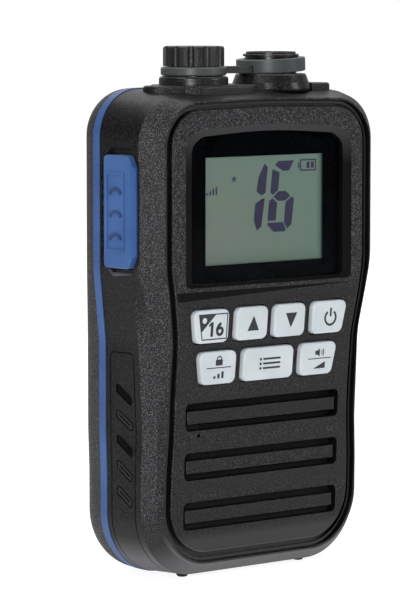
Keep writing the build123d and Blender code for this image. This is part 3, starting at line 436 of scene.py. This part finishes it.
# Dark and pale colour, roughness, grain and depth in millimetres.
satin_finishes = {
    "recess_black": ((9, 9, 11), (16, 16, 18), 0.34, 0.9, 0.004),
    # The well's slanting foot is pale grey as painted light on its upward faces.
    "well_foot_painted_light": ((92, 91, 92), (108, 107, 108), 0.45, 0.9, 0.004),
    "tether_slate": ((66, 70, 71), (84, 88, 90), 0.36, 0.4, 0.012),
    "key_mat": ((96, 97, 100), (110, 111, 114), 0.6, 0.9, 0.004),
    "soft_foam": ((26, 26, 27), (40, 40, 41), 0.8, 0.4, 0.03),
    "speaker_paper": ((36, 36, 38), (52, 52, 54), 0.6, 0.5, 0.02),
    "switch_black": ((18, 18, 19), (28, 28, 29), 0.35, 0.9, 0.004),
    "light_guide": ((214, 216, 214), (228, 230, 228), 0.35, 0.9, 0.004),
    "white_insulator": ((224, 222, 214), (236, 234, 228), 0.35, 0.9, 0.004),
    "cell_wrap": ((188, 192, 198), (206, 210, 214), 0.3, 0.9, 0.004),
}
for name, (dark, light, rough, grain, depth) in satin_finishes.items():
    materials[name] = satin_plastic(name, rgb(*dark), rgb(*light), rough, grain * mm, depth * mm)

rubber_finishes = {
    "band_blue": ((47, 83, 142), (60, 96, 156)),
    "ptt_blue": ((50, 91, 151), (63, 104, 166)),
    # The raised arcs are a darker blue: painted shade.
    "talk_relief": ((30, 58, 108), (38, 70, 124)),
}
for name, (deep, pale) in rubber_finishes.items():
    materials[name] = blue_rubber(name, rgb(*deep), rgb(*pale))

metal_finishes = {
    "dome_steel": ((196, 196, 198), 0.3),
    "speaker_metal": ((168, 168, 170), 0.35),
    "shield_tin": ((200, 200, 204), 0.32),
    "screw_steel": ((120, 120, 124), 0.38),
    "insert_brass": ((206, 168, 96), 0.3),
    "contact_gold": ((226, 188, 110), 0.25),
}
for name, (colour, rough) in metal_finishes.items():
    materials[name] = metal(name, rgb(*colour), rough)


def paint_nodes():
    """Each CAD node takes the material of its slot; the tether's web is as dark as the cap."""
    for part in frame["record"]["subparts"]:
        mesh = nodes[part["node"]].data
        mesh.materials.clear()
        mesh.materials.append(materials[part["material_slot"]])
    nodes["tether_strap"].data.materials[0] = materials["cap_rubber"]


paint_nodes()


# ---------------------------------------------------------------- front shell
talk_low, talk_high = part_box("ptt_button")
lens_low, lens_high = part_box("display_lens")
strip_low, strip_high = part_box("side_strip")

spark_zone, recess_zone, border_zone, foot_zone = range(4)
shell_finishes = "black_shell", "recess_black", "window_border", "well_foot_painted_light"
flank_x = 28 * mm               # facets further out than this are on a flank
strip_seat_x = 30.9 * mm        # and those short of this are under the side strip
strip_seat_depth = 8 * mm, 14 * mm
foot_height = 2.6 * mm          # slanting foot of the talk button's well
foot_depth = 20 * mm
window_margin = 2.6 * mm
window_depth = 0.03 * mm, 0.62 * mm
louvre_half = 21.75 * mm
louvre_top_z = 38.4 * mm
louvre_depth = 0.1 * mm, 0.7 * mm
recess_depth = 0.3 * mm         # below the leaning face
recess_end = 4.7 * mm           # and no deeper than this behind the front


def shell_zone(centre, normal):
    """Which finish a facet of the front housing has."""
    depth = centre.y - face_y
    below = depth - fall(centre.z)
    # Upward facets of the talk button's well foot take a pale grey: painted light.
    in_foot = talk_low.z - foot_height < centre.z < talk_low.z and centre.x < -flank_x
    if in_foot and normal.z > 0.3 and depth < foot_depth:
        return foot_zone
    under_strip = flank_x < abs(centre.x) < strip_seat_x and centre.z < strip_high.z
    if under_strip and strip_seat_depth[0] < depth < strip_seat_depth[1] and normal.x * centre.x > 0:
        return recess_zone
    beside_window = abs(centre.x) < lens_high.x + window_margin
    near_window = beside_window and lens_low.z - window_margin < centre.z < lens_high.z + window_margin
    if near_window and window_depth[0] < below < window_depth[1] and normal.y < -0.6:
        return border_zone
    between_slots = abs(centre.x) < louvre_half and centre.z < louvre_top_z
    if between_slots and louvre_depth[0] < below < louvre_depth[1] and normal.y < -0.8:
        return spark_zone
    upright_or_wall = normal.y < -0.985 or abs(normal.y) < 0.12
    if below > recess_depth and depth < recess_end and upright_or_wall:
        return recess_zone
    return spark_zone


def zoned_copy(name, node, finishes, zone):
    """A node's own mesh again, each facet in the finish that its zone gives."""
    copy = bpy.data.objects.new(name, nodes[node].data.copy())
    scene.collection.objects.link(copy)
    mesh = copy.data
    mesh.materials.clear()
    for finish in finishes:
        mesh.materials.append(materials[finish])
    for face in mesh.polygons:
        face.material_index = zone(mesh, face)
    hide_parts(node)
    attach(copy, "radio")


# Slanting marks on the side strip: the depths of their rear and front ends, the top of the uppermost one,
# and the heights of a whole mark and of its band.
mark_count = 5
mark_rear, mark_front = 13.1 * mm, 8.9 * mm
mark_top_z = 43.1 * mm
mark_pitch = 5.45 * mm
mark_height = 5.5 * mm
mark_band = 2.3 * mm


def strip_zone(mesh, face):
    """1, the recess, where every corner of a facet lies inside a slanting mark, else 0."""
    margin = 0.05 * mm
    corners = [mesh.vertices[index].co for index in face.vertices]
    for number in range(mark_count):
        inside = 0
        for corner in corners:
            depth = corner.y - face_y
            share = (mark_rear - depth) / (mark_rear - mark_front)
            top = mark_top_z - mark_pitch * number - (mark_height - mark_band) * share
            if -0.02 < share < 1.02 and top - mark_band - margin < corner.z < top + margin:
                inside += 1
        if inside == len(corners):
            return 1
    return 0


zoned_copy("front_shell", "front_housing", shell_finishes,
           lambda mesh, face: shell_zone(face.center, face.normal))
zoned_copy("marked_strip", "side_strip", ("black_shell", "recess_black"), strip_zone)


# ---------------------------------------------------------------- flat shapes
def arc(centre, radius, start, end, steps=24):
    """Points along an arc, in degrees."""
    angles = [radians(start + (end - start) * step / steps) for step in range(steps + 1)]
    return [(centre[0] + radius * cos(a), centre[1] + radius * sin(a)) for a in angles]


def disc(centre, radius):
    return arc(centre, radius, 0, 360, 32)[:-1]


def rounded(centre, width, height, radius):
    """Rectangle with rounded corners."""
    x, z = width / 2 - radius, height / 2 - radius
    corners = ((x, z, 0), (-x, z, 90), (-x, -z, 180), (x, -z, 270))
    points = []
    for dx, dz, start in corners:
        points += arc((centre[0] + dx, centre[1] + dz), radius, start, start + 90, 6)
    return points


def band(centre, inner, outer, start, end):
    """Part of a ring."""
    return arc(centre, outer, start, end) + arc(centre, inner, end, start)


def stroke(points, width):
    """Straight strokes along a path, each with square ends, as one outline per stroke."""
    loops = []
    for (x0, z0), (x1, z1) in zip(points, points[1:]):
        length = hypot(x1 - x0, z1 - z0)
        dx, dz = (x1 - x0) / length, (z1 - z0) / length
        nx, nz = -dz * width / 2, dx * width / 2
        loops.append([(x0 + nx, z0 + nz), (x1 + nx, z1 + nz), (x1 - nx, z1 - nz), (x0 - nx, z0 - nz)])
    return loops


def star(centre, radius):
    """Star with five tips."""
    inner = radius * 0.42
    points = []
    for tip in range(10):
        reach = radius if tip % 2 == 0 else inner
        angle = pi / 2 + tip * pi / 5
        points.append((centre[0] + reach * cos(angle), centre[1] + reach * sin(angle)))
    return points


def laid(name, loops, place, material, body, thickness=ink_thickness):
    """Flat shape with its holes, in millimetres, laid on a surface by a function of x, height and rise."""
    curve = bpy.data.curves.new(name, "CURVE")
    curve.dimensions = "2D"
    curve.fill_mode = "BOTH"
    curve.extrude = thickness / 2
    for loop in loops:
        spline = curve.splines.new("POLY")
        spline.points.add(len(loop) - 1)
        for point, (x, z) in zip(spline.points, loop):
            point.co = (x * mm, z * mm, 0, 1)
        spline.use_cyclic_u = True
    drawn = bpy.data.objects.new(name, curve)
    scene.collection.objects.link(drawn)
    bpy.context.view_layer.update()
    mesh = bpy.data.meshes.new_from_object(drawn.evaluated_get(bpy.context.evaluated_depsgraph_get()))
    bpy.data.objects.remove(drawn)
    for vertex in mesh.vertices:
        vertex.co = place(vertex.co.x, vertex.co.y, vertex.co.z + thickness / 2)
    mesh.materials.clear()
    mesh.materials.append(material)
    piece = bpy.data.objects.new(name, mesh)
    scene.collection.objects.link(piece)
    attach(piece, body)


lcd_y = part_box("lcd_panel")[0].y


def on_key(x, z, rise):
    """Front of the keys, which lean with the face."""
    return Vector((x, face_y + fall(z) - key_rise - rise, z))


def on_lcd(x, z, rise):
    """Front of the display."""
    return Vector((x, lcd_y - rise, z))


# ---------------------------------------------------------------- side strip
def side_surface(side):
    """A function that lays flat points, as depth and height, on one flank of the shell and its strip."""
    points, faces = [], []
    for name in ("front_housing", "side_strip"):
        mesh = nodes[name].data
        faces += [[len(points) + index for index in face.vertices] for face in mesh.polygons]
        points += [vertex.co for vertex in mesh.vertices]
    shell = BVHTree.FromPolygons(points, faces)
    clear_x = 50 * mm

    def place(depth, z, rise):
        start = Vector((side * clear_x, face_y + depth, z))
        hit = shell.ray_cast(start, Vector((-side, 0, 0)))[0]
        return hit + Vector((side * rise, 0, 0))

    return place


def mark_outline(number, inset):
    """A slanting mark, in millimetres, drawn in from its edges by an inset."""
    slope = (mark_height - mark_band) / (mark_rear - mark_front)
    band_inset = 1.25 * inset
    rear, front = mark_rear / mm - inset, mark_front / mm + inset

    def top(depth):
        return (mark_top_z - mark_pitch * number) / mm - slope * (mark_rear / mm - depth)

    return [
        (rear, top(rear) - band_inset),
        (rear, top(rear) - mark_band / mm + band_inset),
        (front, top(front) - mark_band / mm + band_inset),
        (front, top(front) - band_inset),
    ]


def side_details():
    """Dark floors of the marks and the dark joint round each side of the strip, in millimetres."""
    gap_black = materials["gap_black"]
    front_edge, rear_edge = (strip_low.y - face_y) / mm, (strip_high.y - face_y) / mm
    low_z, high_z = 7.0, strip_high.z / mm
    corner = 1.2, 1.0               # how far the joint's straight runs stop short of the strip's corners
    half = 0.14                     # half the joint's width
    open_marks, open_inset, framed_inset = (0, 2), 0.3, 0.75
    steps = 24
    heights = [low_z + (high_z - corner[0] - low_z) * step / steps for step in range(steps + 1)]
    for side, name in ((-1, "left"), (1, "right")):
        place = side_surface(side)
        for number in range(mark_count):
            inset = open_inset if number in open_marks else framed_inset
            laid(f"mark_floor_{name}_{number + 1}", [mark_outline(number, inset)], place, gap_black, "radio")
        for edge, depth in (("front", front_edge), ("rear", rear_edge)):
            loop = [(depth - half, z) for z in heights] + [(depth + half, z) for z in reversed(heights)]
            laid(f"strip_joint_{name}_{edge}", [loop], place, gap_black, "radio")
        top = [(front_edge + corner[1], high_z - half), (rear_edge - corner[1], high_z - half),
               (rear_edge - corner[1], high_z + half), (front_edge + corner[1], high_z + half)]
        laid(f"strip_joint_{name}_top", [top], place, gap_black, "radio")


side_details()


# ---------------------------------------------------------------- display
# All in millimetres.
digit_low = 73.75
digit_height = 15.25
digit_width = 7.1
digit_shear = 0.105
digit_middle = digit_height / 2
bar = 2.35                # width of a segment
bar_gap = 0.22            # half the gap between two segments
tip = 0.9                 # how far a segment's end is cut back
one_left, one_widening = -3.15, 1.16
six_left = 0.75
battery_x, battery_z, battery_line = (10.3, 14.95), (86.6, 89.15), 0.3
signal_left, signal_low = -15.9, 82.3
star_place, star_radius = (-8.45, 85.5), 0.85


def lean(points, left):
    """Digit points, from its lower left corner, slanted and moved to their place."""
    return [(left + x + digit_shear * z, digit_low + z) for x, z in points]


def six(left):
    """The six segments of a 6, with their ends cut at a slant where they meet."""
    mid = digit_middle
    right = digit_width - bar
    shelf = digit_height - bar * 0.92
    sill = bar * 0.95
    top = [
        (tip, digit_height - tip), (tip * 1.9, digit_height), (digit_width - 0.9, digit_height),
        (digit_width - 2.1, shelf), (bar / 2 + bar * 0.9, shelf),
    ]
    upper = [
        (0.15, mid + 1.0), (0.9, mid + bar_gap * 1.6), (bar, mid + 1.35),
        (bar, digit_height - bar * 1.05), (0.25, digit_height - 1.75),
    ]
    middle = [
        (1.15, mid), (2.5, mid + 1.1), (digit_width - 2.5, mid + 1.1),
        (digit_width - 1.15, mid), (digit_width - 2.5, mid - 1.0), (2.5, mid - 1.0),
    ]
    lower = [
        (0, sill + bar_gap), (bar, sill + bar_gap), (bar, mid - 1.3),
        (0.9, mid - bar_gap * 1.6), (0, mid - 0.9),
    ]
    corner = [
        (right, bar * 0.85), (right + 1.0, 0.55), (digit_width - 0.15, 1.5),
        (digit_width, mid - 0.6), (digit_width - 0.75, mid - bar_gap), (right, mid - 1.25),
    ]
    base = [
        (0, sill - bar_gap), (0.15, 1.5), (2.0, 0),
        (right + 0.4, 0), (right + 0.65, 0.45), (right - 0.25, sill - bar_gap),
    ]
    return [lean(points, left) for points in (top, upper, middle, lower, corner, base)]


def one(left):
    """The two segments of a 1."""
    mid = digit_middle
    upper = [
        (0.1, mid + 1.3), (1.35, mid + bar_gap * 1.4), (bar - 0.05, mid + 0.9),
        (bar, digit_height - 1.2), (1.5, digit_height - 0.45), (0.3, digit_height - 3.4),
    ]
    lower = [
        (0, 2.6), (0.95, 0.5), (bar - 0.4, 1.4),
        (bar - 0.1, mid - bar_gap * 1.2), (1.6, mid - bar_gap * 1.4), (0, mid - 1.4),
    ]
    return [lean([(x * one_widening, z) for x, z in points], left) for points in (upper, lower)]


def battery_icon():
    """Frame, nub and two bars of charge."""
    (low_x, high_x), (low_z, high_z), line = battery_x, battery_z, battery_line
    middle = (low_x + high_x) / 2, (low_z + high_z) / 2
    frame_loop = rounded(middle, high_x - low_x, high_z - low_z, 0.25)
    hollow = rounded(middle, high_x - low_x - 2 * line, high_z - low_z - 2 * line, 0.1)
    nub = rounded((low_x - 0.35, middle[1]), 0.4, 1.2, 0.05)
    charge = [rounded((high_x - 1.05 - 1.25 * cell, middle[1]), 0.85, 1.35, 0.08) for cell in range(2)]
    return [frame_loop, hollow], [nub], charge


def signal_icon():
    """Four rising bars where the display names its channel set."""
    loops = []
    for step in range(4):
        height = 0.5 + 0.4 * step
        loops.append(rounded((signal_left + 0.85 * step, signal_low + height / 2), 0.45, height, 0.08))
    return loops


def display_marks():
    """Digits and signs in the display's ink."""
    ink = lcd_ink()
    for number, loop in enumerate(six(six_left) + one(one_left)):
        laid(f"lcd_segment_{number + 1}", [loop], on_lcd, ink, "radio")
    for number, loops in enumerate(battery_icon()):
        laid(f"lcd_battery_{number + 1}", loops, on_lcd, ink, "radio")
    laid("lcd_signal", signal_icon(), on_lcd, ink, "radio")
    laid("lcd_star", [star(star_place, star_radius)], on_lcd, ink, "radio")


display_marks()


# ---------------------------------------------------------------- key legends
# Each is drawn in millimetres round a point just right of its key's middle.
legend_shift = 0.25


def key_place(name):
    """Where a key's legend is drawn."""
    low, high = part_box(name)
    return (low.x + high.x) / 2 / mm + legend_shift, (low.z + high.z) / 2 / mm


def channel_legend(x, z):
    """Framed number with a dark corner."""
    outer = [(x - 4.0, z + 2.75), (x + 4.1, z + 2.75), (x + 4.1, z - 2.85), (x - 2.85, z - 2.85)]
    inner = [(x - 3.72, z + 2.5), (x + 3.85, z + 2.5), (x + 3.85, z - 2.6), (x - 2.65, z - 2.6)]
    corner = [(x - 3.72, z + 2.5), (x + 0.7, z + 2.5), (x - 3.0, z - 1.1)]
    dot = disc((x - 2.3, z + 1.35), 0.62)
    one_stem = rounded((x - 0.15, z - 0.6), 0.7, 3.1, 0.08)
    one_flag = [(x - 1.05, z + 0.35), (x - 0.45, z + 0.92), (x - 0.4, z + 0.40), (x - 0.95, z - 0.1)]
    six_bowl = [disc((x + 2.05, z - 1.1), radius) for radius in (1.06, 0.42)]
    six_stem = band((x + 2.85, z - 0.95), 1.24, 1.90, 108, 180)
    return [outer, inner], [corner, dot], [one_stem], [one_flag], six_bowl, [six_stem]


def triangle(x, z, up):
    """Triangle with its tip up, or down where up is -1."""
    half = 1.6
    return [[(x - half, z - half * up), (x + half, z - half * up), (x, z + half * up)]]


def power_legend(x, z):
    """Open ring and a stroke."""
    ring = band((x, z - 0.2), 1.3, 1.8, 125, 415)
    return [ring], stroke([(x, z + 2.0), (x, z + 0.1)], 0.5)


def underline(x, z, half):
    return stroke([(x - half, z + 0.02), (x + half, z + 0.02)], 0.2)


def lock_legend(x, z):
    """Padlock above a line and three rising bars below it."""
    body = rounded((x, z + 1.15), 1.9, 1.3, 0.2)
    shackle = band((x, z + 1.85), 0.45, 0.72, 0, 180)
    bars = []
    for step in range(3):
        height = 0.55 + 0.45 * step
        bars.append(rounded((x - 1.1 + 1.1 * step, z - 2.3 + height / 2), 0.6, height, 0.08))
    return [body], [shackle], underline(x, z, 3.4), bars


def menu_legend(x, z):
    """List: three rows, each a dot and a line."""
    loops = []
    for row in (-1, 0, 1):
        loops.append(disc((x - 2.6, z + row), 0.3))
        loops.append(rounded((x + 0.55, z + row), 4.9, 0.42, 0.12))
    return (loops,)


def volume_legend(x, z):
    """Loudspeaker above a line and a falling wedge below it."""
    horn = [
        (x - 1.3, z + 0.85), (x - 0.7, z + 0.85), (x, z + 0.4),
        (x, z + 2.2), (x - 0.7, z + 1.75), (x - 1.3, z + 1.75),
    ]
    waves = [band((x, z + 1.3), 0.55 + 0.5 * step, 0.78 + 0.5 * step, -42, 42) for step in range(2)]
    wedge = [(x - 1.7, z - 2.2), (x + 1.7, z - 2.2), (x + 1.7, z - 0.75)]
    return [horn], [waves[0]], [waves[1]], underline(x, z, 3.3), [wedge]


def key_legends():
    """Each key's legend rides on its key."""
    ink = legend_ink()
    legends = {
        "key_channel": channel_legend,
        "key_up": lambda x, z: (triangle(x, z, 1),),
        "key_down": lambda x, z: (triangle(x, z, -1),),
        "key_power": power_legend,
        "key_lock": lock_legend,
        "key_menu": menu_legend,
        "key_volume": volume_legend,
    }
    for key, draw in legends.items():
        for number, loops in enumerate(draw(*key_place(key))):
            laid(f"{key}_legend_{number + 1}", loops, on_key, ink, key)


key_legends()


# ---------------------------------------------------------------- talk button's relief
def talk_relief():
    """Three arcs, as of a spoken call, raised on the talk button, in a darker blue that is painted shade."""
    rise = 0.28 * mm
    sunk = 0.25 * mm                # the button's face lies this far inside its box
    middle_y = (talk_low.y + talk_high.y) / 2 + 0.625 * mm
    middle_z = (talk_low.z + talk_high.z) / 2
    pitch, drop = 4.8, 2.2
    inner, outer, start, end = 1.85, 2.55, 32, 148

    def on_button(x, z, up):
        return Vector((talk_low.x + sunk - up, middle_y - x, middle_z + z))

    for number in range(3):
        arc_band = band((0, pitch * (number - 1) - drop), inner, outer, start, end)
        laid(f"talk_arc_{number + 1}", [arc_band], on_button, materials["talk_relief"], "ptt", rise)


talk_relief()


# ---------------------------------------------------------------- stage, light and camera
def stage_material():
    """White sweep that still takes the object's shadow.

    The camera sees it glow up to white with distance; on the object it casts only a soft glow from near by.
    """
    tree = Tree("white_sweep")
    away = tree.add("ShaderNodeVectorMath", operation="LENGTH")
    tree.links.new(tree.place, away.inputs[0])
    distance = away.outputs["Value"]

    def glowing(grey, glow):
        diffuse = tree.add("ShaderNodeBsdfDiffuse")
        diffuse.inputs[0].default_value = (grey, grey, grey, 1)
        emission = tree.add("ShaderNodeEmission")
        tree.links.new(glow, emission.inputs[1])
        both = tree.add("ShaderNodeAddShader")
        tree.links.new(diffuse.outputs[0], both.inputs[0])
        tree.links.new(emission.outputs[0], both.inputs[1])
        return both.outputs[0]

    lit = glowing(0.85, tree.spread(distance, 0.10, 0.40, 0.22, 0.0))
    seen = glowing(0.34, tree.spread(distance, 0.15, 0.7, 0.90, 1.0))
    choice = tree.add("ShaderNodeMixShader")
    tree.links.new(tree.add("ShaderNodeLightPath").outputs["Is Camera Ray"], choice.inputs[0])
    tree.links.new(lit, choice.inputs[1])
    tree.links.new(seen, choice.inputs[2])
    tree.links.new(choice.outputs[0], tree.nodes["Material Output"].inputs["Surface"])
    return tree.material


def stage():
    """Floor as one large plane."""
    half = 6.0
    corners = [(-half, -half, 0), (half, -half, 0), (half, half, 0), (-half, half, 0)]
    mesh = bpy.data.meshes.new("floor")
    mesh.from_pydata(corners, [], [(0, 1, 2, 3)])
    floor = bpy.data.objects.new("floor", mesh)
    scene.collection.objects.link(floor)
    mesh.materials.append(stage_material())


# Place, width, height and power of each soft box; all are turned to the middle of the object.
light_aim = 0, 0, 0.05
lights = {
    "top_light": ((0.15, 0.15, 0.8), 0.9, 0.9, 4.0),
    "bevel_light": ((-0.72, -0.60, 0.30), 0.2, 0.4, 4.7),
    "front_light": ((0.60, -0.75, 0.35), 0.3, 0.3, 1.8),
    "shoulder_light": ((-0.55, 0.0, 0.8), 0.4, 0.4, 1.4),
    "back_light": ((0.5, 0.8, 0.5), 0.6, 0.6, 0.6),
}


def studio():
    """One area lamp for each soft box."""
    for name, (place, width, height, power) in lights.items():
        light = bpy.data.lights.new(name, "AREA")
        light.shape = "RECTANGLE"
        light.size, light.size_y = width, height
        light.energy = power
        lamp = bpy.data.objects.new(name, light)
        scene.collection.objects.link(lamp)
        lamp.location = place
        lamp.rotation_euler = (Vector(light_aim) - Vector(place)).to_track_quat("-Z", "Y").to_euler()


def world():
    """White surround, seen as white; as a light it is bright behind on the right and dim elsewhere."""
    brightest = Vector((0.55, 0.72, 0.42)).normalized()
    dim, bright = 0.02, 0.40
    sky = bpy.data.worlds.new("surround")
    scene.world = sky
    sky.use_nodes = True
    tree = sky.node_tree
    background = tree.nodes["Background"]
    background.inputs[0].default_value = (1, 1, 1, 1)
    place = tree.nodes.new("ShaderNodeTexCoord")
    bright_side = tree.nodes.new("ShaderNodeVectorMath")
    bright_side.operation = "DOT_PRODUCT"
    tree.links.new(place.outputs["Generated"], bright_side.inputs[0])
    bright_side.inputs[1].default_value = brightest
    level = tree.nodes.new("ShaderNodeMapRange")
    tree.links.new(bright_side.outputs["Value"], level.inputs["Value"])
    level.inputs["From Min"].default_value = 0.15
    level.inputs["From Max"].default_value = 0.95
    level.inputs["To Min"].default_value = dim
    level.inputs["To Max"].default_value = bright
    rays = tree.nodes.new("ShaderNodeLightPath")
    strength = tree.nodes.new("ShaderNodeMix")
    tree.links.new(rays.outputs["Is Camera Ray"], strength.inputs[0])
    tree.links.new(level.outputs[0], strength.inputs[2])
    strength.inputs[3].default_value = 1.0
    tree.links.new(strength.outputs[0], background.inputs[1])


def camera():
    """The photograph's camera, as fitted to it."""
    yaw, pitch = radians(39.91), radians(5.29)
    lens = bpy.data.cameras.new("camera")
    lens.sensor_width = 36.0
    lens.lens = 198.0
    lens.shift_x = 0.005
    lens.clip_start = 0.05
    lens.clip_end = 20.0
    view = bpy.data.objects.new("camera", lens)
    scene.collection.objects.link(view)
    view.location = Vector((-464.1, -545.4, 124.6)) * mm
    look = Vector((sin(yaw) * cos(pitch), cos(yaw) * cos(pitch), -sin(pitch)))
    view.rotation_euler = look.to_track_quat("-Z", "Y").to_euler()
    scene.camera = view


stage()
world()
studio()
camera()
scene.view_settings.view_transform = "Standard"
